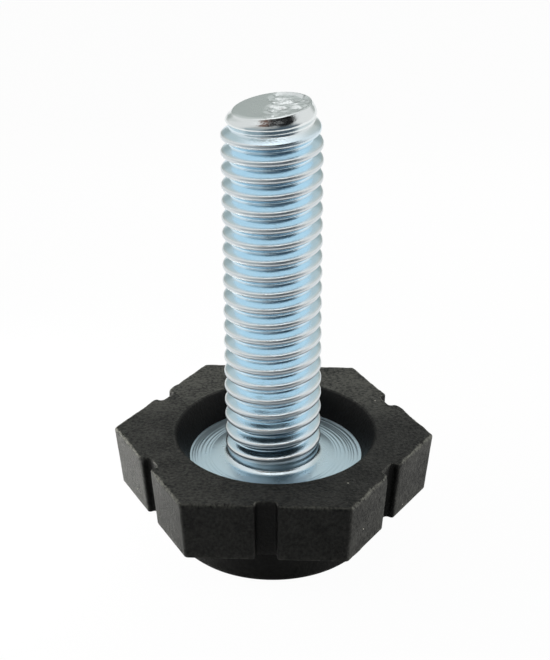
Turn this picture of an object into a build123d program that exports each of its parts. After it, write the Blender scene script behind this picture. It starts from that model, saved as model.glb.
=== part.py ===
from build123d import *
import os
from math import cos, hypot, radians, sin, tan

# Levelling foot: a flanged steel stud with a plastic foot moulded around its flange.
# Millimetres, +Z up along the stud, origin at the middle of the face that stands on the floor.

# Hexagonal body of the foot, measured at its top face; the sides lean in towards the floor
side_count = 6
across_flats = 27.2
hexagon_height = 6.2
side_draft = 5.0
corner_radius = 0.5
rim_chamfer = 0.25

# Groove up the middle of each side of the hexagon
groove_width = 2.0
groove_depth = 0.85
groove_mouth_radius = 0.4
groove_floor_radius = 0.35

# Round pad under the hexagon, measured at the floor
pad_diameter = 20.0
pad_height = 4.7
pad_draft = 2.0
pad_edge_radius = 0.6

# Conical recess in the top of the foot, down to the upper face of the stud's flange
recess_depth = 2.6
recess_flare = 1.3
recess_edge_chamfer = 0.2

# Flange of the stud: its rim is held in the plastic and keyed by notches that the plastic fills
flange_thickness = 2.0
flange_grip = 1.55
flange_cover = 2.7
key_count = 4
key_radius = 0.8

# Stud above the flange, with the thread drawn at its outer diameter
thread_diameter = 9.3
stud_length = 36.0
hub_radius = 1.0
neck_relief = 0.3
neck_length = 1.9
run_out_length = 0.6
end_chamfer_width = 1.2
end_chamfer_height = 2.8
end_slope = 7.0

# Heights of the main levels above the floor
foot_top = pad_height + hexagon_height
flange_top = foot_top - recess_depth
flange_bottom = flange_top - flange_thickness
stud_end = flange_top + stud_length
chamfer_start = stud_end - end_chamfer_height

# Radii that follow from the sizes above
flange_radius = across_flats / 2 - groove_depth - flange_cover
recess_floor_radius = flange_radius - flange_grip
recess_mouth_radius = recess_floor_radius + recess_flare
thread_radius = thread_diameter / 2
neck_radius = thread_radius - neck_relief

# Solids that rise from the level they are placed at
ON_BASE = (Align.CENTER, Align.CENTER, Align.MIN)


def stud_half_section() -> Sketch:
    """Half section of the stud in the XZ plane, from its flange up to the start of the end's chamfer."""
    neck_top = flange_top + neck_length
    hub = RadiusArc(
        (neck_radius + hub_radius, flange_top),
        (neck_radius, flange_top + hub_radius),
        hub_radius,
    )
    outline = Polyline(
        (neck_radius, flange_top + hub_radius),
        (neck_radius, neck_top),
        (thread_radius, neck_top + run_out_length),
        (thread_radius, chamfer_start),
        (0, chamfer_start),
        (0, flange_bottom),
        (flange_radius, flange_bottom),
        (flange_radius, flange_top),
        (neck_radius + hub_radius, flange_top),
    )
    return Plane.XZ * make_face(hub + outline)


def make_stud_end() -> Part:
    """Chamfered end of the stud: level where it starts, and sheared off at a slant on top."""
    slope = radians(end_slope)
    start = Pos(0, 0, chamfer_start) * Circle(thread_radius)
    sheared_face = Plane((0, 0, stud_end), x_dir=(cos(slope), 0, sin(slope)), z_dir=(-sin(slope), 0, cos(slope)))
    return loft([start, sheared_face * Circle(thread_radius - end_chamfer_width)])


def make_threaded_stud() -> Part:
    """Headed stud: a turned form with a keyed flange, and a chamfered, slanted end."""
    stud = revolve(stud_half_section(), Axis.Z) + make_stud_end()
    notch = Pos(0, 0, flange_bottom) * Cylinder(key_radius, flange_thickness, align=ON_BASE)
    return stud - [place * notch for place in PolarLocations(flange_radius, key_count, 180 / key_count)]


def distance_from_axis(edge: Edge) -> float:
    """Distance of an edge's middle from the stud's axis."""
    middle = edge @ 0.5
    return hypot(middle.X, middle.Y)


def edges_up_the_sides(body: Part) -> ShapeList:
    """Edges that rise more than they run level, in groups by distance from the axis, nearest first."""
    rising = body.edges().filter_by(lambda edge: abs(edge.tangent_at(0.5).Z) > 0.5)
    return rising.group_by(distance_from_axis, tol_digits=3)


def make_hexagon() -> Part:
    """Hexagonal body with a groove up each side that keeps its depth as the side leans in."""
    lean = tan(radians(side_draft))
    half_height = hexagon_height / 2
    outline = Pos(0, 0, pad_height) * RegularPolygon(across_flats / 2, side_count, major_radius=False)
    prism = extrude(outline, hexagon_height)
    sides = prism.faces().filter_by(Axis.Z, reverse=True)
    body = draft(sides, Plane.XY.offset(foot_top), -side_draft)
    flat_at_half_height = across_flats / 2 - lean * half_height
    mouth = Pos(0, -flat_at_half_height, pad_height + half_height)
    section = mouth * Rectangle(groove_width, 2 * groove_depth)
    groove = extrude(section, hexagon_height, dir=(0, -lean, 1), both=True)
    body -= [turn * groove for turn in PolarLocations(0, side_count)]
    body = fillet(edges_up_the_sides(body)[-1], corner_radius)
    body = fillet(edges_up_the_sides(body)[1], groove_mouth_radius)
    body = fillet(edges_up_the_sides(body)[0], groove_floor_radius)
    rim = body.faces().sort_by(Axis.Z)[-1].outer_wire().edges()
    return chamfer(rim, rim_chamfer)


def make_pad() -> Part:
    """Round pad that carries the hexagon, narrowing a little towards the floor."""
    pad = extrude(Circle(pad_diameter / 2), pad_height, taper=-pad_draft)
    return fillet(pad.edges().sort_by(Axis.Z)[0], pad_edge_radius)


def make_hex_foot(stud: Part) -> Part:
    """Foot moulded around the stud: the hexagon and the pad, less the recess and the stud's flange."""
    recess = Cone(recess_floor_radius, recess_mouth_radius, recess_depth, align=ON_BASE)
    foot = make_hexagon() + make_pad() - Pos(0, 0, flange_top) * recess
    recess_edge = foot.faces().sort_by(Axis.Z)[-1].inner_wires()[0].edges()
    return chamfer(recess_edge, recess_edge_chamfer) - stud


threaded_stud = make_threaded_stud()
hex_foot = make_hex_foot(threaded_stud)

os.makedirs("parts", exist_ok=True)
export_step(threaded_stud, "parts/threaded_stud.step")
export_step(hex_foot, "parts/hex_foot.step")
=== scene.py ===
"""Looks of a levelling foot: a zinc-plated threaded stud moulded into a black hexagonal plastic foot.

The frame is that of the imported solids: metres, +Z up along the stud, the floor at zero. Sizes are
written in millimetres and turned into metres where they are used.
"""

import logging
import math
from collections.abc import Callable, Sequence
from dataclasses import dataclass
from enum import Enum
from functools import cached_property
from itertools import pairwise

import bmesh
import bpy
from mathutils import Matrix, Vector, noise


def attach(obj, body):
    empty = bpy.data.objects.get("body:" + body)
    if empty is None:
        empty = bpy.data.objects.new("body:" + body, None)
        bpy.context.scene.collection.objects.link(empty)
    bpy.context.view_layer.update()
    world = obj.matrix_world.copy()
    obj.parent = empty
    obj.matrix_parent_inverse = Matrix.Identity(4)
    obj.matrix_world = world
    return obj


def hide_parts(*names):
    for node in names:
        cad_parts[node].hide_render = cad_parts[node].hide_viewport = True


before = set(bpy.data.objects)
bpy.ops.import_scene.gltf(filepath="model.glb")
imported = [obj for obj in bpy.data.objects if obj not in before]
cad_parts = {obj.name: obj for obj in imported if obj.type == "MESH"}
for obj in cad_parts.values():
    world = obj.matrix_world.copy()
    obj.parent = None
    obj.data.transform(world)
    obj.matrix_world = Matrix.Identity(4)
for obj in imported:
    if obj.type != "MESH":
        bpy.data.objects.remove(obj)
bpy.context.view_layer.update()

MM = 0.001
LOG = logging.getLogger("levelling_foot")

# Two numbers that belong together, such as a width and a depth
Pair = tuple[float, float]
# Distance from the axis and height of each point, in millimetres
Profile = list[Pair]
# Gives the new place of a vertex, in metres
Placer = Callable[[bmesh.types.BMVert], Vector]


def linear(colour: str) -> tuple[float, float, float, float]:
    """Turn an sRGB hex colour into linear light.

    Args:
        colour: Six hex digits after a hash sign.

    Returns:
        Red, green, blue and a full alpha.
    """
    channels = [int(colour[i : i + 2], 16) / 255 for i in (1, 3, 5)]
    light = [c / 12.92 if c <= 0.04045 else ((c + 0.055) / 1.055) ** 2.4 for c in channels]
    return (light[0], light[1], light[2], 1.0)


def smooth_step(value: float) -> float:
    """Ease from 0 to 1 as the value goes from 0 to 1."""
    t = min(max(value, 0.0), 1.0)
    return t * t * (3 - 2 * t)


def add_node(
    tree: bpy.types.NodeTree,
    kind: str,
    settings: dict[str, object] | None = None,
    sockets: dict[str | int, object] | None = None,
) -> bpy.types.Node:
    """Add one node with its settings and links.

    Args:
        tree: The node tree that gets the node.
        kind: Blender's type name of the node.
        settings: Properties of the node by name.
        sockets: Inputs by name or number, each a value or an output socket to link.

    Returns:
        The new node.
    """
    node = tree.nodes.new(kind)
    for name, value in (settings or {}).items():
        setattr(node, name, value)
    for key, value in (sockets or {}).items():
        if isinstance(value, bpy.types.NodeSocket):
            tree.links.new(value, node.inputs[key])
        else:
            node.inputs[key].default_value = value
    return node


class Mark(Enum):
    """Vertex attribute that a piece stores and its finish reads."""

    CREST = "crest"
    BARE = "bare_and_highlight"
    DULL = "dull"
    WEAR = "wear_and_painted_light"


# What the zinc plate reads
METAL_MARKS = (Mark.CREST, Mark.BARE, Mark.DULL)


class Workpiece:
    """A mesh piece that is open in edit mode."""

    def __init__(self, name: str) -> None:
        """Take the object that was just added and open it.

        Args:
            name: Name that the piece gets.
        """
        self.obj: bpy.types.Object = bpy.context.object
        self.obj.name = name
        self.obj.data.name = name
        bpy.ops.object.mode_set(mode="EDIT")

    @property
    def shape(self) -> bmesh.types.BMesh:
        """The mesh as it stands in edit mode."""
        return bmesh.from_edit_mesh(self.obj.data)

    def update(self) -> None:
        """Show the mesh's latest vertex moves to the operators."""
        bmesh.update_edit_mesh(self.obj.data)

    def select_open_edges(self, test: Callable[[float], bool]) -> None:
        """Select the open edges at some heights, and nothing else.

        Args:
            test: Says of a height in metres whether the open edges there are selected.
        """
        bpy.ops.mesh.select_mode(type="EDGE")
        bpy.ops.mesh.select_all(action="DESELECT")
        shape = self.shape
        for edge in shape.edges:
            if edge.is_boundary and test(edge.verts[0].co.z):
                edge.select_set(True)
        shape.select_flush_mode()
        self.update()

    def move(self, place: Placer) -> None:
        """Move every selected vertex.

        Args:
            place: Gives a vertex's new place.
        """
        for vertex in self.shape.verts:
            if vertex.select:
                vertex.co = place(vertex)
        self.update()

    def extrude_ring(self, place: Placer) -> None:
        """Extrude the selected ring of edges once, and leave the new ring selected.

        Args:
            place: Gives the place of each vertex of the new ring.
        """
        bpy.ops.mesh.extrude_edges_move()
        self.move(place)

    def close_ring(self) -> None:
        """Close the selected ring with a fan of triangles."""
        bpy.ops.mesh.edge_face_add()
        bpy.ops.mesh.poke()

    def finish(self, sharp_angle: float) -> bpy.types.Object:
        """Merge what coincides, turn the faces outwards and shade the piece.

        Args:
            sharp_angle: Edges that turn by more than this many degrees stay sharp.

        Returns:
            The finished object.
        """
        bpy.ops.mesh.select_all(action="SELECT")
        bpy.ops.mesh.remove_doubles(threshold=0.001 * MM)
        bpy.ops.mesh.normals_make_consistent(inside=False)
        bpy.ops.object.mode_set(mode="OBJECT")
        bpy.ops.object.shade_smooth_by_angle(angle=math.radians(sharp_angle))
        return self.obj


def draw_profile(name: str, points: Profile) -> Workpiece:
    """Draw an open line in the XZ plane from a single vertex.

    Args:
        name: Name of the new piece.
        points: The points of the line.

    Returns:
        The piece, open in edit mode.
    """
    bpy.ops.object.select_all(action="DESELECT")
    bpy.ops.mesh.primitive_plane_add(size=MM)
    piece = Workpiece(name)
    bpy.ops.mesh.merge(type="CENTER")
    bpy.ops.transform.translate(value=(points[0][0] * MM, 0, points[0][1] * MM))
    for (r, z), (next_r, next_z) in pairwise(points):
        step = ((next_r - r) * MM, 0, (next_z - z) * MM)
        bpy.ops.mesh.extrude_vertices_move(TRANSFORM_OT_translate={"value": step})
    return piece


@dataclass(frozen=True)
class ZincPlate:
    """Bright zinc plate with a blue passivation on rolled steel: a mirror-like, faintly blue metal."""

    name: str = "blue_passivated_zinc"
    tint: str = "#daeef8"
    deep_tint: str = "#cde6f4"
    crest: str = "#d9dfe2"
    # Bare cut steel, and a painted highlight on the crests' upper sides and the hub
    bare_and_highlight: str = "#eaebe8"
    roughness: float = 0.18
    roughness_spread: float = 0.14
    dull_roughness: float = 0.3
    patch_mm: float = 1.4
    grain_mm: float = 0.16
    grain_height_mm: float = 0.012

    def material(self) -> bpy.types.Material:
        """Make the material.

        Returns:
            The material, which reads the piece's crest, bare and dull attributes; the bare white also
            paints highlights.
        """
        # Zinc plate over a rolled thread: the metal reflects like a soft mirror, blue where light is
        # reflected twice between the flanks, greyer on rubbed crests, white and dull where it was cut, and
        # whiter on the crests' upper sides and on the hub as a painted highlight.
        # The real grain is a few hundredths of a millimetre, so it is drawn coarser to show.
        material = bpy.data.materials.new(self.name)
        material.use_nodes = True
        tree = material.node_tree
        shader = tree.nodes["Principled BSDF"]
        place = add_node(tree, "ShaderNodeTexCoord").outputs["Object"]
        crest, bare_and_highlight, dull = [
            add_node(tree, "ShaderNodeAttribute", {"attribute_name": mark.value}).outputs["Fac"]
            for mark in METAL_MARKS
        ]
        patches, grain = [
            add_node(
                tree,
                "ShaderNodeTexNoise",
                sockets={"Vector": place, "Scale": 1 / (size * MM), "Detail": detail},
            ).outputs["Fac"]
            for size, detail in ((self.patch_mm, 3.0), (self.grain_mm, 2.0))
        ]
        colour: object = linear(self.deep_tint)
        for share, over in ((patches, self.tint), (crest, self.crest), (bare_and_highlight, self.bare_and_highlight)):
            colour = add_node(
                tree,
                "ShaderNodeMix",
                {"data_type": "RGBA"},
                {"Factor": share, 6: colour, 7: linear(over)},
            ).outputs[2]
        roughness: object = self.roughness - self.roughness_spread / 2
        for share, more in ((patches, self.roughness_spread), (dull, self.dull_roughness)):
            roughness = add_node(
                tree,
                "ShaderNodeMath",
                {"operation": "MULTIPLY_ADD"},
                {0: share, 1: more, 2: roughness},
            ).outputs[0]
        bump = add_node(
            tree,
            "ShaderNodeBump",
            sockets={"Height": grain, "Strength": 0.8, "Distance": self.grain_height_mm * MM},
        ).outputs["Normal"]
        shader.inputs["Metallic"].default_value = 1.0
        tree.links.new(colour, shader.inputs["Base Color"])
        tree.links.new(roughness, shader.inputs["Roughness"])
        tree.links.new(bump, shader.inputs["Normal"])
        return material


@dataclass(frozen=True)
class MouldedPlastic:
    """Black nylon as it comes from an eroded mould: dull, finely pitted, scuffed pale along its edges, with
    painted shade and highlights.
    """

    name: str = "black_moulded_nylon"
    dark: str = "#080808"
    pale: str = "#2c2c2a"
    # Pale of scuffs, also used for the painted highlight along the upper edge and the painted sheen on the
    # top face
    scuffed_and_highlight: str = "#4c4c46"
    speck: str = "#8c8a80"
    roughness: float = 0.52
    roughness_spread: float = 0.3
    specular: float = 0.1
    patch_mm: float = 2.8
    patch_share: float = 0.3
    grain_mm: float = 0.3
    grain_stretch: float = 0.75
    grain_height_mm: float = 0.1
    dust_range: Pair = (0.43, 0.9)
    scuff_range: Pair = (0.5, 0.8)
    speck_mm: float = 0.1
    speck_spacing_mm: float = 2.2

    def material(self) -> bpy.types.Material:
        """Make the material.

        Returns:
            The material, which reads the piece's wear attribute, from -1, clean and darkened as painted
            shade, to 1, scuffed and lightened as painted highlight.
        """
        # Nylon moulded against spark-eroded steel: near black, with a pitted grain that is drawn out up the
        # sides, cloudy patches, paler scuffs along the edges and a few specks of dust. The wear attribute
        # also carries
        # painted light: below zero it darkens the recess, the grooves and the pad as painted shade, above
        # zero it lays a painted highlight along the upper edge and a painted sheen over the top face. The
        # real grain is about a tenth of a millimetre, so it is drawn coarser to show.
        material = bpy.data.materials.new(self.name)
        material.use_nodes = True
        tree = material.node_tree
        shader = tree.nodes["Principled BSDF"]
        place = add_node(tree, "ShaderNodeTexCoord").outputs["Object"]
        drawn_out = add_node(
            tree,
            "ShaderNodeMapping",
            sockets={"Vector": place, "Scale": (1.0, 1.0, self.grain_stretch)},
        ).outputs["Vector"]
        grain = add_node(
            tree,
            "ShaderNodeTexNoise",
            sockets={
                "Vector": drawn_out,
                "Scale": 1 / (self.grain_mm * MM),
                "Detail": 4.0,
                "Roughness": 0.62,
            },
        ).outputs["Fac"]
        patches = add_node(
            tree,
            "ShaderNodeTexNoise",
            sockets={"Vector": place, "Scale": 1 / (self.patch_mm * MM), "Detail": 4.0},
        ).outputs["Fac"]
        wear_and_painted_light = add_node(tree, "ShaderNodeAttribute", {"attribute_name": Mark.WEAR.value}).outputs["Fac"]
        mottle = add_node(
            tree,
            "ShaderNodeMath",
            {"operation": "MULTIPLY_ADD"},
            {0: patches, 1: self.patch_share, 2: grain},
        ).outputs[0]
        spread, broken = [
            add_node(
                tree,
                "ShaderNodeMapRange",
                sockets={"Value": mottle, "From Min": least, "From Max": most},
            ).outputs["Result"]
            for least, most in (self.dust_range, self.scuff_range)
        ]
        # Wear below zero thins the pale mottle as painted shade; above zero it thickens it as painted
        # sheen.
        dust_and_light_amount = add_node(tree, "ShaderNodeMath", {"operation": "ADD"}, {0: wear_and_painted_light, 1: 1.0}).outputs[0]
        dust_and_painted_light, scuff_and_highlight = [
            add_node(
                tree,
                "ShaderNodeMath",
                {"operation": "MULTIPLY", "use_clamp": True},
                {0: amount, 1: mottled},
            ).outputs[0]
            for amount, mottled in ((dust_and_light_amount, spread), (wear_and_painted_light, broken))
        ]
        nearest = add_node(
            tree,
            "ShaderNodeTexVoronoi",
            sockets={"Vector": place, "Scale": 1 / (self.speck_spacing_mm * MM)},
        ).outputs["Distance"]
        edge = self.speck_mm / self.speck_spacing_mm
        on_speck = add_node(
            tree,
            "ShaderNodeMapRange",
            sockets={
                "Value": nearest,
                "From Min": 0.5 * edge,
                "From Max": edge,
                "To Min": 0.8,
                "To Max": 0.0,
            },
        ).outputs["Result"]
        colour: object = linear(self.dark)
        for share, over in ((dust_and_painted_light, self.pale), (scuff_and_highlight, self.scuffed_and_highlight), (on_speck, self.speck)):
            colour = add_node(
                tree,
                "ShaderNodeMix",
                {"data_type": "RGBA"},
                {"Factor": share, 6: colour, 7: linear(over)},
            ).outputs[2]
        roughness = add_node(
            tree,
            "ShaderNodeMath",
            {"operation": "MULTIPLY_ADD"},
            {0: grain, 1: self.roughness_spread, 2: self.roughness - self.roughness_spread / 2},
        ).outputs[0]
        bump = add_node(
            tree,
            "ShaderNodeBump",
            sockets={"Height": grain, "Strength": 0.8, "Distance": self.grain_height_mm * MM},
        ).outputs["Normal"]
        shader.inputs["Specular IOR Level"].default_value = self.specular
        tree.links.new(colour, shader.inputs["Base Color"])
        tree.links.new(roughness, shader.inputs["Roughness"])
        tree.links.new(bump, shader.inputs["Normal"])
        return material


@dataclass
class ThreadedStud:
    """Flanged steel stud with a rolled right-hand thread and a sheared end. Sizes in millimetres."""

    name: str = "rolled_stud"
    thread_diameter: float = 9.3
    pitch: float = 1.5875
    crest_radius: float = 0.3
    root_radius: float = 0.23
    unevenness: float = 0.045
    crest_height_on_x: float = 1.057
    neck_radius: float = 4.36
    neck_lean: float = 0.28
    neck_top: float = 9.45
    neck_bottom: float = 8.95
    run_out: float = 1.3
    hub_radius: float = 4.9
    hub_height: float = 8.62
    dish_radius: float = 8.0
    flange_top: float = 8.3
    flange_bottom: float = 6.32
    flange_radius: float = 10.0
    turned_lines: tuple[float, float, float] = (6.15, 8.45, 0.33)
    turned_line_width: float = 0.16
    turned_line_depth: float = 0.025
    flat_radius: float = 9.2
    fan_radius: float = 1.0
    end_height: float = 44.28
    end_radius: float = 3.5
    end_crest: float = 3.62
    end_slope: float = 6.8
    end_cut_depth: float = 0.18
    end_rounding: tuple[Pair, ...] = ((0.04, 0.1), (0.1, 0.04), (0.2, 0.0))
    point_length: float = 2.9
    point_lean: float = 0.8
    tear_height: float = 0.26
    tear_drop: float = 0.2
    steps_per_turn: int = 96
    end_rings: int = 18

    @property
    def crest(self) -> float:
        """Distance of the thread's crests from the axis."""
        return self.thread_diameter / 2

    @property
    def root(self) -> float:
        """Distance of the thread's roots from the axis."""
        return self.crest + self.crest_radius + self.root_radius - self.pitch * math.cos(math.radians(30))

    def thread_profile(self) -> Profile:
        """One pitch of the thread, from the middle of a root to the middle of the next.

        Returns:
            The points of the profile.
        """
        crest_middle = (self.crest - self.crest_radius, self.pitch / 2)
        root_middle = self.root + self.root_radius
        lower_root = self.arc((root_middle, 0), self.root_radius, (180, 160, 140, 120))
        crest = self.arc(crest_middle, self.crest_radius, range(-60, 61, 15))
        upper_root = self.arc((root_middle, self.pitch), self.root_radius, (240, 220, 200, 180))
        lower_flank = self.between(lower_root[-1], crest[0])
        upper_flank = self.between(crest[-1], upper_root[0])
        return lower_root + lower_flank + crest + upper_flank + upper_root

    @staticmethod
    def arc(centre: Pair, radius: float, degrees: Sequence[float]) -> Profile:
        """Points on an arc about a centre, at the given angles."""
        turns = [math.radians(d) for d in degrees]
        return [(centre[0] + radius * math.cos(t), centre[1] + radius * math.sin(t)) for t in turns]

    @staticmethod
    def between(a: Pair, b: Pair) -> Profile:
        """Two points that divide a flank into three."""
        return [(a[0] + (b[0] - a[0]) * t, a[1] + (b[1] - a[1]) * t) for t in (1 / 3, 2 / 3)]

    def wind_thread(self) -> Workpiece:
        """Wind one pitch of the thread up the stud, past both of its ends.

        Returns:
            The thread, open in edit mode.
        """
        start = self.crest_height_on_x - self.pitch / 2
        start += self.pitch * math.floor((self.neck_top - 1.1 * self.pitch - start) / self.pitch)
        piece = draw_profile(self.name, [(r, z + start) for r, z in self.thread_profile()])
        bpy.ops.object.mode_set(mode="OBJECT")
        screw = piece.obj.modifiers.new("thread", "SCREW")
        screw.axis = "Z"
        screw.screw_offset = self.pitch * MM
        screw.iterations = math.ceil((self.end_height + 1.0 - start) / self.pitch)
        screw.steps = screw.render_steps = self.steps_per_turn
        bpy.ops.object.modifier_apply(modifier=screw.name)
        bpy.ops.object.mode_set(mode="EDIT")
        bpy.ops.mesh.select_all(action="SELECT")
        bpy.ops.mesh.remove_doubles(threshold=0.002 * MM)
        return piece

    def end_level(self, x: float) -> float:
        """Height of the slanted end at a distance along X."""
        return self.end_height + x * math.tan(math.radians(self.end_slope))

    def shaped(self, point: Vector) -> Vector:
        """Fade the thread out into the neck, draw it in to the point at the end, and roll it unevenly.

        Args:
            point: A point on the endless thread, in metres.

        Returns:
            The same point on the stud.
        """
        x, y, z = point / MM
        r = math.hypot(x, y)
        height = (r - self.root) / (self.crest - self.root)
        below_end = self.end_level(x / r * self.end_radius) - z
        drawn_in = max(1 - below_end / (self.point_length + self.point_lean * x / r), 0.0)
        crest = self.crest - (self.crest - self.end_crest) * drawn_in**1.6
        root = self.root - (self.root - self.end_radius) * max(1 - below_end / 1.2, 0.0) ** 2
        new_r = root + (crest - root) * height
        fade = smooth_step((z - self.neck_top) / self.run_out)
        neck = self.neck_radius + self.neck_lean * (z - self.neck_bottom)
        new_r = neck + (new_r - neck) * fade
        octaves = ((0.5, 1.3), (0.4, 3.1), (0.4, 6.3))
        uneven = sum(share * noise.noise(point / MM * scale) for share, scale in octaves)
        new_r -= self.unevenness * max(uneven, 0.0) * height * fade
        return Vector((x * new_r / r, y * new_r / r, z)) * MM

    def ring_place(self, r: float, z: float) -> Placer:
        """Placer that puts a ring about the axis and keeps each vertex's direction.

        Args:
            r: Distance from the axis.
            z: Height.

        Returns:
            The placer for one ring.
        """

        def place(vertex: bmesh.types.BMVert) -> Vector:
            """Place of one vertex of the ring."""
            flat = Vector((vertex.co.x, vertex.co.y, 0)).normalized() * r
            return Vector((flat.x, flat.y, z)) * MM

        return place

    def dished(self, r: float) -> float:
        """Height of the flange's upper face, which rises a little towards the hub."""
        share = max((self.dish_radius - r) / (self.dish_radius - self.hub_radius), 0.0)
        return self.flange_top + (self.hub_height - self.flange_top) * share

    def base_rings(self) -> Profile:
        """Rings from the neck down over the hub and the turned flange to its underside.

        Returns:
            Distance from the axis and height of each ring.
        """
        edge, low = self.neck_radius + 0.03, self.neck_bottom - 0.06
        rings = [(self.neck_radius, self.neck_bottom)]
        for share in (0.0, 0.1, 0.22, 0.36, 0.52, 0.68, 0.84, 1.0):
            z = self.hub_height + (low - self.hub_height) * (1 - share) ** 2
            rings.append((edge + (self.hub_radius - edge) * share, z))
        first, last, spacing = self.turned_lines
        half_width = self.turned_line_width / 2
        for line in range(round((last - first) / spacing) + 1):
            r = first + spacing * (line + 0.3 * math.sin(5 * line))
            z = self.dished(r)
            rings += [(r - half_width, z), (r, z - self.turned_line_depth), (r + half_width, z)]
        rings += [(r, self.flange_top) for r in (self.flat_radius, self.flange_radius)]
        rings += [(r, self.flange_bottom) for r in (self.flange_radius, self.fan_radius)]
        return rings

    def add_base(self, piece: Workpiece) -> None:
        """Cut the thread off at the neck and extrude the neck, the hub and the flange from there.

        Args:
            piece: The stud, open in edit mode.
        """
        bpy.ops.mesh.select_all(action="SELECT")
        level = (0, 0, self.neck_top * MM)
        bpy.ops.mesh.bisect(plane_co=level, plane_no=(0, 0, 1), clear_inner=True, threshold=1e-8)
        piece.select_open_edges(lambda z: z < (self.neck_top + 0.01) * MM)
        for r, z in self.base_rings():
            piece.extrude_ring(self.ring_place(r, z))
        piece.close_ring()

    def end_place(self, share: float, inset: float, drop: float) -> Placer:
        """Placer that puts a ring on the slanted end, or a little below it.

        Args:
            share: Share of each vertex's distance from the axis that is kept.
            inset: Length that is then taken off that distance.
            drop: Depth below the end.

        Returns:
            The placer for one ring.
        """

        def place(vertex: bmesh.types.BMVert) -> Vector:
            """Place of one vertex of the ring.

            Args:
                vertex: A vertex of the new ring.

            Returns:
                Its place on the end.
            """
            flat = Vector((vertex.co.x, vertex.co.y, 0)) / MM
            flat *= share - inset / flat.length
            return Vector((flat.x, flat.y, self.end_level(flat.x) - drop)) * MM

        return place

    def add_end(self, piece: Workpiece) -> None:
        """Cut the stud off just below its slanted end, and close it with a rounded edge and fine rings.

        Args:
            piece: The stud, open in edit mode.
        """
        slope = math.radians(self.end_slope)
        bpy.ops.mesh.select_all(action="SELECT")
        bpy.ops.mesh.bisect(
            plane_co=(0, 0, (self.end_height - self.end_cut_depth) * MM),
            plane_no=(-math.sin(slope), 0, math.cos(slope)),
            clear_outer=True,
            threshold=1e-8,
        )
        lowest = (self.end_height - 2.0) * MM
        piece.select_open_edges(lambda z: z > lowest)
        bpy.ops.mesh.remove_doubles(threshold=0.03 * MM)
        piece.select_open_edges(lambda z: z > lowest)
        for inset, drop in self.end_rounding:
            piece.extrude_ring(self.end_place(1.0, inset, drop))
        for left in range(self.end_rings - 1, 0, -1):
            piece.extrude_ring(self.end_place(left / (left + 1), 0.0, 0.0))
        piece.close_ring()

    def torn(self, point: Vector) -> float:
        """How far a point of the end lies in its torn half, from 0 to 1."""
        return smooth_step((point.x / MM + 0.5 + 0.6 * noise.noise(point / MM * 0.8)) / 0.5)

    def roughen_end(self, piece: Workpiece) -> None:
        """Tear the right half of the end, where the bar broke off the shear.

        Args:
            piece: The stud, open in edit mode.
        """
        inner = (self.end_radius - 0.2) * MM
        for vertex in piece.shape.verts:
            point = vertex.co
            on_end = point.z > self.end_level(point.x / MM) * MM - 0.02 * MM
            if on_end and math.hypot(point.x, point.y) < inner:
                streak = noise.noise(Vector((point.x, point.y * 3.2, 3.0 * MM)) / MM)
                vertex.co.z += (self.tear_height * streak - self.tear_drop) * self.torn(point) * MM
        piece.update()

    def marks_at(self, point: Vector, normal: Vector) -> dict[Mark, float]:
        """Say how far the metal is rubbed, bare or dull at a point, each from 0 to 1; on the crests' tops
        and the hub the bare white is a painted highlight.

        Args:
            point: A point of the stud, in metres.
            normal: The way out of the metal there.

        Returns:
            The marks that the point has.
        """
        x, y, z = point / MM
        r = math.hypot(x, y)
        if z > self.end_level(x) - 0.35 and r < self.end_radius:
            return {Mark.BARE: 0.8, Mark.DULL: 0.25 + 0.35 * self.torn(point)}
        if z > self.neck_top + 0.3:
            outer = smooth_step((r - self.crest + 0.25) / 0.2)
            # Rubbed crests are grey on their lower sides; their upper sides take the bare white as a
            # painted highlight.
            lower = smooth_step((0.7 - normal.z) / 0.3)
            at_end = smooth_step((z - self.end_height + 2.4) / 1.2)
            return {
                Mark.CREST: outer * lower,
                Mark.BARE: max(0.8 * at_end, outer * (1 - lower)),
                Mark.DULL: outer * (0.22 + 0.33 * lower),
            }
        if z < self.neck_bottom - 0.03:
            on_disc = smooth_step((r - 4.5) / 0.6)
            # The hub takes the bare white as a painted highlight.
            return {Mark.BARE: 0.45 - 0.4 * on_disc, Mark.DULL: 0.1 + 0.3 * on_disc}
        return {Mark.DULL: 0.5}

    def mark(self, obj: bpy.types.Object) -> None:
        """Store the marks of every vertex, for the plating to read.

        Args:
            obj: The finished stud.
        """
        mesh = obj.data
        for mark in METAL_MARKS:
            mesh.attributes.new(mark.value, "FLOAT", "POINT")
        stored = {mark: mesh.attributes[mark.value].data for mark in METAL_MARKS}
        for vertex in mesh.vertices:
            for mark, value in self.marks_at(vertex.co, vertex.normal).items():
                stored[mark][vertex.index].value = value

    def build(self) -> bpy.types.Object:
        """Model the stud.

        Returns:
            The stud's mesh object.
        """
        piece = self.wind_thread()
        piece.move(lambda vertex: self.shaped(vertex.co))
        self.add_end(piece)
        self.roughen_end(piece)
        self.add_base(piece)
        obj = piece.finish(40)
        self.mark(obj)
        return obj

    def dress(self, obj: bpy.types.Object, finish: ZincPlate) -> None:
        """Give the stud its finish and its place in the frame.

        Args:
            obj: The stud.
            finish: Its plating.
        """
        obj.data.materials.clear()
        obj.data.materials.append(finish.material())
        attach(obj, "root")
        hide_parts("threaded_stud")


@dataclass(frozen=True)
class Nick:
    """A dent in the foot's upper edge. Sizes in millimetres."""

    side: int
    along: float
    width: float
    depth: float


@dataclass(frozen=True)
class Ring:
    """One ring of the foot's surface, in millimetres, and its wear and painted light, from -1, clean and
    darkened as painted shade, to 1, scuffed and lightened as painted highlight.
    """

    points: list[Vector]
    wear_and_painted_light: float = 0.0
    # Grooves are darkened as painted shade unless a ring says otherwise
    groove_wear_and_painted_light: float = -0.7


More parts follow.
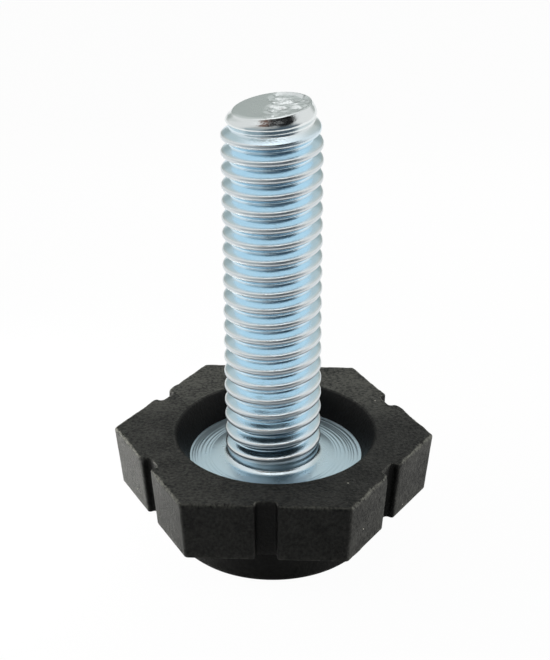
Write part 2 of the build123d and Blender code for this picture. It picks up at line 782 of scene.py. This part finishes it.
@dataclass
class HexFoot:
    """Plastic foot moulded around the stud's flange. Sizes in millimetres."""

    name: str = "moulded_foot"
    across_flats: float = 27.17
    top: float = 10.9
    bottom_of_sides: float = 4.7
    side_draft: float = 5.0
    corner_radius: float = 0.5
    groove_width: float = 2.0
    groove_depth: float = 0.85
    groove_floor_radius: float = 0.35
    mouth: Pair = (0.3, 0.3)
    left_lead_in: Pair = (1.1, 0.45)
    right_lead_in: Pair = (0.5, 0.36)
    lead_in_height: float = 1.0
    rim_radius: float = 0.28
    largest_rim_radius: float = 0.48
    waviness: float = 0.02
    bottom_edge: float = 0.15
    recess_offset: Pair = (0.24, 0.17)
    recess_floor_radius: float = 8.45
    recess_mouth_radius: float = 9.75
    recess_edge_radius: float = 0.15
    flange_top: float = 8.3
    flange_bottom: float = 6.3
    flange_radius: float = 10.05
    pad_radius: float = 10.0
    pad_draft: float = 2.0
    pad_edge_radius: float = 0.6
    gate_mark: tuple[Pair, ...] = ((6.0, 0.0), (2.2, 0.0), (2.0, 0.25), (0.5, 0.3))
    top_shares: tuple[float, ...] = (0.015, 0.12, 0.3, 0.5, 0.7, 0.85, 0.95, 0.985)
    side_depths: tuple[float, ...] = (0.55, 0.7, 0.9, 1.1, 1.5, 2.1, 2.8, 3.5, 4.2, 4.9, 5.5)
    # Darkens the recess wall: painted shade
    recess_painted_shade: float = -0.9
    top_wear: float = 0.08
    # Pale along the upper edge: scuffing, strongest at 60 degrees as a painted highlight
    rim_wear_and_highlight: tuple[Pair, ...] = ((90, 0.2), (60, 0.9), (30, 0.35), (0, 0.05))
    # Darkens the underside and the pad, under the hexagon: painted shade
    pad_painted_shade: float = -0.7
    # Paler far and left parts of the top face: painted sheen and painted light
    far_painted_sheen: float = 0.55
    left_painted_light: float = 0.16
    nicks: tuple[Nick, ...] = (
        Nick(0, -2.6, 0.5, 0.22),
        Nick(0, -3.4, 0.35, 0.15),
        Nick(0, 4.4, 0.4, 0.12),
        Nick(1, -3.6, 0.5, 0.2),
        Nick(1, 2.1, 0.4, 0.16),
        Nick(1, 5.2, 0.6, 0.15),
        Nick(5, 3.0, 0.5, 0.14),
        Nick(5, -4.8, 0.4, 0.12),
        Nick(3, 1.8, 0.5, 0.18),
        Nick(4, -2.2, 0.4, 0.14),
    )

    def half_side(self, mouth: Pair) -> list[Pair]:
        """Outline of half a side, from the middle of its groove to the middle of the corner.

        Args:
            mouth: Width and depth of the rounding at the groove's mouth.

        Returns:
            Distance along the side and depth behind it, for each point.
        """
        half_width, depth = self.groove_width / 2, self.groove_depth
        floor_r, corner_r = self.groove_floor_radius, self.corner_radius
        half_length = self.across_flats / 2 * math.tan(math.radians(30))
        points = [((half_width - floor_r) * t / 3, depth) for t in range(3)]
        for t in map(math.radians, (0, 22.5, 45, 67.5, 90)):
            points.append((half_width - floor_r * (1 - math.sin(t)), depth - floor_r * (1 - math.cos(t))))
        points.append((half_width, (depth - floor_r + mouth[1]) / 2))
        for t in map(math.radians, (0, 30, 60, 90)):
            points.append((half_width + mouth[0] * (1 - math.cos(t)), mouth[1] * (1 - math.sin(t))))
        straight_from = half_width + mouth[0]
        straight_to = half_length - corner_r * math.tan(math.radians(30))
        points += [(straight_from + (straight_to - straight_from) * t / 20, 0.0) for t in range(1, 20)]
        for t in map(math.radians, (0, 10, 20, 30)):
            points.append((straight_to + corner_r * math.sin(t), corner_r * (1 - math.cos(t))))
        return points

    def outline(self, left: Pair, right: Pair) -> list[Vector]:
        """Outline of the whole hexagon at its top.

        Args:
            left: Width and depth of the rounding at each groove's left mouth, seen from outside.
            right: The same for the right mouth.

        Returns:
            The points of the outline, all the way round.
        """
        side = [(-u, w) for u, w in reversed(self.half_side(left)[1:-1])] + self.half_side(right)
        points = []
        for k in range(6):
            turn = math.radians(60 * k - 90)
            out = Vector((math.cos(turn), math.sin(turn), 0))
            along = Vector((-out.y, out.x, 0))
            points += [out * (self.across_flats / 2 - w) + along * u for u, w in side]
        return points

    @cached_property
    def plain(self) -> list[Vector]:
        """Outline of the hexagon at its top, without the grooves' lead-ins."""
        return self.outline(self.mouth, self.mouth)

    @cached_property
    def with_lead_in(self) -> list[Vector]:
        """Outline of the hexagon at its top, opened by the grooves' lead-ins."""
        return self.outline(self.left_lead_in, self.right_lead_in)

    @property
    def count(self) -> int:
        """Number of points on the outline."""
        return len(self.plain)

    @cached_property
    def rim(self) -> list[float]:
        """Radius of the rounding along the upper edge, at each point of the outline."""
        return [self.rim_size(i) for i in range(self.count)]

    @cached_property
    def in_groove(self) -> list[bool]:
        """Whether each point of the outline lies in a groove."""
        reach = self.groove_width / 2 + 0.05
        return [abs(self.along_side(i)) < reach for i in range(self.count)]

    def along_side(self, i: int) -> float:
        """Distance of a point of the outline from the middle of its side.

        Args:
            i: Number of the point on the outline.

        Returns:
            The distance, positive to the right seen from outside.
        """
        p, turn = self.plain[i], math.radians(60 * (i // (self.count // 6)) - 90)
        return p.y * math.cos(turn) - p.x * math.sin(turn)

    def rim_size(self, i: int) -> float:
        """Radius of the rounding along the upper edge, with its nicks.

        Args:
            i: Number of the point on the outline.

        Returns:
            The radius at that point.
        """
        p, along = self.plain[i], self.along_side(i)
        near_groove = 0.55 + 0.45 * smooth_step((abs(along) - 1.3) / 1.2)
        uneven = 1 + 0.3 * noise.noise(p * 0.9) + 0.25 * noise.noise(p * 2.3)
        size = self.rim_radius * near_groove * uneven
        for nick in self.nicks:
            if nick.side == i // (self.count // 6):
                size += nick.depth * math.exp(-(((along - nick.along) / nick.width) ** 2) * 2)
        return min(size, self.largest_rim_radius)

    def outline_at(self, z: float) -> tuple[list[Vector], list[Vector]]:
        """The hexagon's outline at a height, drawn in by the draft and opened by the lead-ins.

        Args:
            z: Height.

        Returns:
            The points of the outline, and the way out of the body at each.
        """
        half = self.across_flats / 2
        scale = (half - (self.top - z) * math.tan(math.radians(self.side_draft))) / half
        share = max(1 - (self.top - z) / self.lead_in_height, 0.0) ** 1.5
        points = [a.lerp(b, share) * scale for a, b in zip(self.plain, self.with_lead_in)]
        outward = []
        for i in range(self.count):
            run = points[(i + 1) % self.count] - points[i - 1]
            outward.append(Vector((run.y, -run.x, 0)).normalized())
        return points, outward

    def rim_ring(self, degrees: float) -> list[Vector]:
        """Ring on the rounding of the upper edge.

        Args:
            degrees: Angle on the rounding, 90 on the top face and 0 on the side.

        Returns:
            The points of the ring.
        """
        t = math.radians(degrees)
        points, outward = self.outline_at(self.top - self.rim_radius * (1 - math.sin(t)))
        ring = []
        for p, out, size in zip(points, outward, self.rim):
            flat = p - out * size * (1 - math.cos(t))
            ring.append(Vector((flat.x, flat.y, self.top - size * (1 - math.sin(t)))))
        return ring

    def side_ring(self, z: float, inset: float = 0.0) -> list[Vector]:
        """Ring around the sides, which are as uneven as moulded plastic.

        Args:
            z: Height.
            inset: Distance behind the sides.

        Returns:
            The points of the ring.
        """
        points, outward = self.outline_at(z)
        ring = []
        for p, out in zip(points, outward):
            wave = self.waviness * (0.5 + 0.5 * noise.noise(Vector((p.x, p.y, z)) * 0.7))
            flat = p - out * (inset + wave)
            ring.append(Vector((flat.x, flat.y, z)))
        return ring

    def round_ring(self, r: float, z: float, centre: Pair = (0, 0)) -> list[Vector]:
        """Round ring at a height.

        Args:
            r: Radius of the ring.
            z: Height of the ring.
            centre: Middle of the ring.

        Returns:
            The points of the ring, in step with the outline's.
        """
        turns = [math.radians(-120) + math.tau * (i + 1) / self.count for i in range(self.count)]
        return [Vector((centre[0] + r * math.cos(t), centre[1] + r * math.sin(t), z)) for t in turns]

    @staticmethod
    def mixed_ring(a: list[Vector], b: list[Vector], share: float) -> list[Vector]:
        """Ring that lies between two others."""
        return [p.lerp(q, share) for p, q in zip(a, b)]

    def recess_rings(self) -> list[Ring]:
        """Rings from the seat of the flange up the recess to its rounded edge.

        Returns:
            The rings, in order.
        """
        at, rise = self.recess_offset, self.top - self.flange_top
        floor_r, mouth_r, edge = self.recess_floor_radius, self.recess_mouth_radius, self.recess_edge_radius
        lines = [self.round_ring(self.flange_radius, z) for z in (self.flange_bottom, self.flange_top)]
        for share in (0.0, 0.25, 0.5, 0.75, 0.94):
            r = floor_r + (mouth_r - floor_r) * share
            lines.append(self.round_ring(r, self.flange_top + rise * share, at))
        # The recess is darkened as painted shade.
        made = [Ring(line, self.recess_painted_shade, self.recess_painted_shade) for line in lines]
        for t in map(math.radians, (30, 60, 90)):
            r = mouth_r + edge * (1 - math.cos(t))
            made.append(Ring(self.round_ring(r, self.top - edge * (1 - math.sin(t)), at), 0.0, 0.0))
        return made

    def pad_rings(self) -> list[Ring]:
        """Rings from the underside of the hexagon down the pad to the gate mark in its face.

        Returns:
            The rings, in order.
        """
        low, edge = self.bottom_of_sides, self.pad_edge_radius
        lean = math.tan(math.radians(self.pad_draft))
        pad_top = self.pad_radius + low * lean
        under = self.side_ring(low, self.bottom_edge)
        corner = self.round_ring(pad_top + 0.3, low)
        # The hexagon's underside and the pad are darkened as painted shade.
        made = [Ring(self.mixed_ring(under, corner, share), self.pad_painted_shade) for share in (0.5, 0.85, 1.0)]
        made.append(Ring(self.round_ring(pad_top + 0.08, low - 0.09), self.pad_painted_shade))
        for z in (low - 0.3, 3.4, 2.4, 1.4, edge):
            made.append(Ring(self.round_ring(self.pad_radius + z * lean, z), self.pad_painted_shade))
        for t in map(math.radians, (30, 60, 90)):
            r = self.pad_radius - edge * (1 - math.cos(t))
            made.append(Ring(self.round_ring(r, edge * (1 - math.sin(t))), 0.0, 0.0))
        for r, z in self.gate_mark:
            made.append(Ring(self.round_ring(r, z), 0.0, 0.0))
        return made

    def rings(self) -> list[Ring]:
        """All rings of the foot, from the seat of the flange over the top and the sides to the floor.

        Returns:
            The rings, in order.
        """
        made = self.recess_rings()
        inner, outer = made[-1].points, self.rim_ring(90)
        for share in self.top_shares:
            made.append(Ring(self.mixed_ring(inner, outer, share), self.top_wear, self.top_wear))
        # The upper edge's pale line is partly scuffs and partly a painted highlight.
        for degrees, wear_and_painted_light in self.rim_wear_and_highlight:
            made.append(Ring(self.rim_ring(degrees), wear_and_painted_light, 0.5 * wear_and_painted_light))
        low, edge = self.bottom_of_sides, self.bottom_edge
        for depth in self.side_depths:
            made.append(Ring(self.side_ring(self.top - depth)))
        made.append(Ring(self.side_ring(low + edge), 0.1))
        made.append(Ring(self.side_ring(low + 0.3 * edge, 0.3 * edge), 0.4))
        made.append(Ring(self.side_ring(low, edge), 0.2))
        return made + self.pad_rings()

    def dust_and_painted_light(self, point: Vector) -> float:
        """Extra paleness on the far and left parts of the top face: a painted sheen on the far part and
        painted light on the left.

        Args:
            point: A point of the foot.

        Returns:
            What the painted sheen and light add to the wear there.
        """
        if point.z <= self.top - 0.01:
            return 0.0
        far, left = smooth_step((point.y - 1) / 8), smooth_step((-point.x - 1) / 4)
        return self.far_painted_sheen * far + self.left_painted_light * left * (1 - far)

    def start_disc(self) -> Workpiece:
        """Add the disc in the middle of the flange's seat and number its rim in step with the outline.

        Returns:
            The foot, open in edit mode, with the disc's rim selected.
        """
        bpy.ops.object.select_all(action="DESELECT")
        bpy.ops.mesh.primitive_circle_add(vertices=self.count, radius=1.0 * MM, fill_type="TRIFAN")
        piece = Workpiece(self.name)
        piece.shape.verts.layers.int.new("number")
        piece.shape.verts.layers.float.new(Mark.WEAR.value)
        piece.move(lambda vertex: vertex.co + Vector((0, 0, self.flange_bottom * MM)))
        piece.select_open_edges(lambda z: z > 0)
        number = piece.shape.verts.layers.int["number"]
        start = self.round_ring(1.0, self.flange_bottom)
        for vertex in piece.shape.verts:
            if vertex.select:
                turn = math.atan2(vertex.co.y, vertex.co.x) + math.radians(120)
                vertex[number] = round(turn / math.tau * self.count - 1) % self.count
                vertex.co = start[vertex[number]] * MM
        piece.update()
        return piece

    def build(self) -> bpy.types.Object:
        """Model the foot ring by ring.

        Returns:
            The foot's mesh object.
        """
        piece = self.start_disc()
        for ring in self.rings():
            bpy.ops.mesh.extrude_edges_move()
            shape = piece.shape
            number, wear_and_painted_light = shape.verts.layers.int["number"], shape.verts.layers.float[Mark.WEAR.value]
            for vertex in shape.verts:
                if vertex.select:
                    vertex.co = ring.points[vertex[number]] * MM
                    # Each vertex takes its ring's wear and painted light, with painted shade in the
                    # grooves.
                    ring_wear_and_painted_light = ring.groove_wear_and_painted_light if self.in_groove[vertex[number]] else ring.wear_and_painted_light
                    vertex[wear_and_painted_light] = ring_wear_and_painted_light + self.dust_and_painted_light(ring.points[vertex[number]])
            piece.update()
        piece.close_ring()
        return piece.finish(35)

    def dress(self, obj: bpy.types.Object, finish: MouldedPlastic) -> None:
        """Give the foot its finish and its place in the frame.

        Args:
            obj: The foot.
            finish: Its plastic.
        """
        obj.data.materials.clear()
        obj.data.materials.append(finish.material())
        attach(obj, "root")
        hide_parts("hex_foot")


def direction(azimuth: float, elevation: float) -> Vector:
    """Unit vector towards a place in the room.

    Args:
        azimuth: Degrees from +X towards +Y.
        elevation: Degrees above the table.

    Returns:
        The direction from the foot.
    """
    a, e = math.radians(azimuth), math.radians(elevation)
    return Vector((math.cos(e) * math.cos(a), math.cos(e) * math.sin(a), math.sin(e)))


@dataclass(frozen=True)
class RoomPatch:
    """A soft-edged part of the room that the metal mirrors. Angles in degrees."""

    azimuth: float
    elevation: float
    half_width: float
    half_height: float
    colour: str
    core: float = 0.6


@dataclass(frozen=True)
class SoftBox:
    """A lamp with a wide soft face that looks at the foot. Angles in degrees, sizes in millimetres."""

    name: str
    azimuth: float
    elevation: float
    distance: float
    width: float
    height: float
    radiance: float
    mirrored: bool
    aim_height: float = 20.0

    def build(self) -> None:
        """Hang the lamp up and point it at the foot."""
        lamp = bpy.data.lights.new(self.name, "AREA")
        lamp.shape = "RECTANGLE"
        lamp.size, lamp.size_y = self.width * MM, self.height * MM
        lamp.energy = self.radiance * math.pi * lamp.size * lamp.size_y
        obj = bpy.data.objects.new(self.name, lamp)
        bpy.context.scene.collection.objects.link(obj)
        middle = Vector((0, 0, self.aim_height)) * MM
        away = direction(self.azimuth, self.elevation)
        obj.location = middle + away * self.distance * MM
        obj.rotation_euler = away.to_track_quat("Z", "Y").to_euler()
        obj.visible_camera = False
        obj.visible_glossy = self.mirrored


@dataclass
class Studio:
    """White table, the room around it, soft boxes, and the camera. Sizes in millimetres."""

    camera_place: tuple[float, float, float] = (6.69, -133.149, 89.533)
    camera_turn: tuple[float, float, float] = (63.1193, 0.1303, 2.7162)
    lens: float = 85.985
    clip_start: float = 5.0
    table_size: float = 2000.0
    table_edge: float = -75.0
    table_colour: str = "#a0a09e"
    table_glow: float = 0.97
    # Inner and outer edge of the painted shade that mirrored rays see around the foot
    table_shade: Pair = (20.0, 38.0)
    room_colour: str = "#b4b6b4"
    patches: tuple[RoomPatch, ...] = (
        RoomPatch(0, 90, 60, 60, "#ffffff"),
        RoomPatch(165, 15, 54, 60, "#ebebeb"),
        RoomPatch(10, 15, 50, 60, "#f0f0f0"),
        RoomPatch(90, 32, 60, 30, "#ced2d0"),
        RoomPatch(90, 8, 50, 22, "#aab0ad"),
        RoomPatch(226, 0, 40, 36, "#a9b4ba"),
        RoomPatch(295, 0, 60, 38, "#525f69"),
        RoomPatch(310, 42, 32, 15, "#0b0b0c"),
        RoomPatch(269, 51, 26, 11, "#0b0b0c"),
        RoomPatch(237, 50, 14, 12, "#6a4c40"),
    )
    lamps: tuple[SoftBox, ...] = (
        SoftBox("ceiling_box", 90, 35, 90, 120, 120, 1.9, False),
        SoftBox("top_box", 270, 76, 300, 150, 150, 0.4, True),
        SoftBox("left_strip", 172, -10, 52, 36, 10, 140.0, False),
        SoftBox("right_strip", 8, 2, 200, 140, 40, 76.0, False),
    )

    def build_table(self) -> None:
        """Lay a table that is white to the camera, with a painted shade near the foot where the metal
        mirrors it.
        """
        bpy.ops.object.select_all(action="DESELECT")
        middle = (0, (self.table_edge + self.table_size / 2) * MM, 0)
        bpy.ops.mesh.primitive_plane_add(size=self.table_size * MM, location=middle)
        bpy.ops.object.transform_apply(location=True, rotation=False, scale=False)
        table = bpy.context.object
        table.name = "white_table"
        material = bpy.data.materials.new("white_card")
        material.use_nodes = True
        tree = material.node_tree
        tree.nodes.clear()
        # White card: matt paper, almost evenly lit to the camera with a faint shadow, and mirrored
        # bright only beyond a painted shade around the foot.
        card = add_node(tree, "ShaderNodeBsdfDiffuse", sockets={"Color": linear(self.table_colour)})
        glow = add_node(tree, "ShaderNodeEmission", sockets={"Color": (1, 1, 1, 1), "Strength": 1.0})
        rays = add_node(tree, "ShaderNodeLightPath").outputs
        place = add_node(tree, "ShaderNodeTexCoord").outputs["Object"]
        away = add_node(tree, "ShaderNodeVectorMath", {"operation": "LENGTH"}, {0: place}).outputs["Value"]
        near, far = self.table_shade
        # Painted shadow: mirrored rays see the glow only beyond this distance from the foot's axis.
        lit = add_node(
            tree,
            "ShaderNodeMapRange",
            {"interpolation_type": "SMOOTHSTEP"},
            {"Value": away, "From Min": near * MM, "From Max": far * MM},
        ).outputs["Result"]
        mirrored = add_node(
            tree, "ShaderNodeMath", {"operation": "MULTIPLY"}, {0: lit, 1: rays["Is Glossy Ray"]}
        ).outputs[0]
        seen = add_node(
            tree, "ShaderNodeMath", {"operation": "MAXIMUM"}, {0: mirrored, 1: rays["Is Camera Ray"]}
        ).outputs[0]
        share = add_node(
            tree, "ShaderNodeMath", {"operation": "MULTIPLY"}, {0: seen, 1: self.table_glow}
        ).outputs[0]
        mix = add_node(
            tree, "ShaderNodeMixShader", sockets={0: share, 1: card.outputs[0], 2: glow.outputs[0]}
        )
        add_node(tree, "ShaderNodeOutputMaterial", sockets={"Surface": mix.outputs[0]})
        table.data.materials.append(material)

    def build_room(self) -> None:
        """Surround the foot with a pale room that is pure white to the camera."""
        world = bpy.data.worlds.new("pale_room")
        bpy.context.scene.world = world
        world.use_nodes = True
        tree = world.node_tree
        tree.nodes.clear()
        towards = add_node(tree, "ShaderNodeTexCoord").outputs["Generated"]
        colour: object = linear(self.room_colour)
        for patch in self.patches:
            wide, tall = 1 / math.radians(patch.half_width), 1 / math.radians(patch.half_height)
            away = add_node(
                tree,
                "ShaderNodeVectorMath",
                {"operation": "SUBTRACT"},
                {0: towards, 1: direction(patch.azimuth, patch.elevation)},
            ).outputs["Vector"]
            scaled = add_node(
                tree,
                "ShaderNodeVectorMath",
                {"operation": "MULTIPLY"},
                {0: away, 1: (wide, wide, tall)},
            ).outputs["Vector"]
            distance = add_node(
                tree, "ShaderNodeVectorMath", {"operation": "LENGTH"}, {0: scaled}
            ).outputs["Value"]
            inside = add_node(
                tree,
                "ShaderNodeMapRange",
                {"interpolation_type": "SMOOTHSTEP"},
                {"Value": distance, "From Min": patch.core, "From Max": 1.0, "To Min": 1.0, "To Max": 0.0},
            ).outputs["Result"]
            colour = add_node(
                tree,
                "ShaderNodeMix",
                {"data_type": "RGBA"},
                {"Factor": inside, 6: colour, 7: linear(patch.colour)},
            ).outputs[2]
        seen = add_node(tree, "ShaderNodeLightPath").outputs["Is Camera Ray"]
        shown = add_node(
            tree,
            "ShaderNodeMix",
            {"data_type": "RGBA"},
            {"Factor": seen, 6: colour, 7: (1, 1, 1, 1)},
        ).outputs[2]
        background = add_node(tree, "ShaderNodeBackground", sockets={"Color": shown, "Strength": 1.0})
        add_node(tree, "ShaderNodeOutputWorld", sockets={"Surface": background.outputs[0]})

    def build_camera(self) -> None:
        """Stand the camera where the photograph was taken."""
        data = bpy.data.cameras.new("camera")
        data.lens = self.lens
        data.clip_start = self.clip_start * MM
        camera = bpy.data.objects.new("camera", data)
        bpy.context.scene.collection.objects.link(camera)
        camera.location = Vector(self.camera_place) * MM
        camera.rotation_euler = [math.radians(d) for d in self.camera_turn]
        bpy.context.scene.camera = camera

    def build(self) -> None:
        """Set the whole studio up."""
        self.build_table()
        self.build_room()
        self.build_camera()
        for lamp in self.lamps:
            lamp.build()
        bpy.context.scene.view_settings.view_transform = "Standard"


def main() -> None:
    """Build the foot and its studio."""
    logging.basicConfig(level=logging.INFO, format="%(name)s: %(message)s")
    stud = ThreadedStud()
    stud_piece = stud.build()
    stud.dress(stud_piece, ZincPlate())
    LOG.info("%s: %d faces", stud_piece.name, len(stud_piece.data.polygons))
    foot = HexFoot()
    foot_piece = foot.build()
    foot.dress(foot_piece, MouldedPlastic())
    LOG.info("%s: %d faces", foot_piece.name, len(foot_piece.data.polygons))
    Studio().build()
    LOG.info("studio: table, room, lamps and camera")


if __name__ == "__main__":
    main()
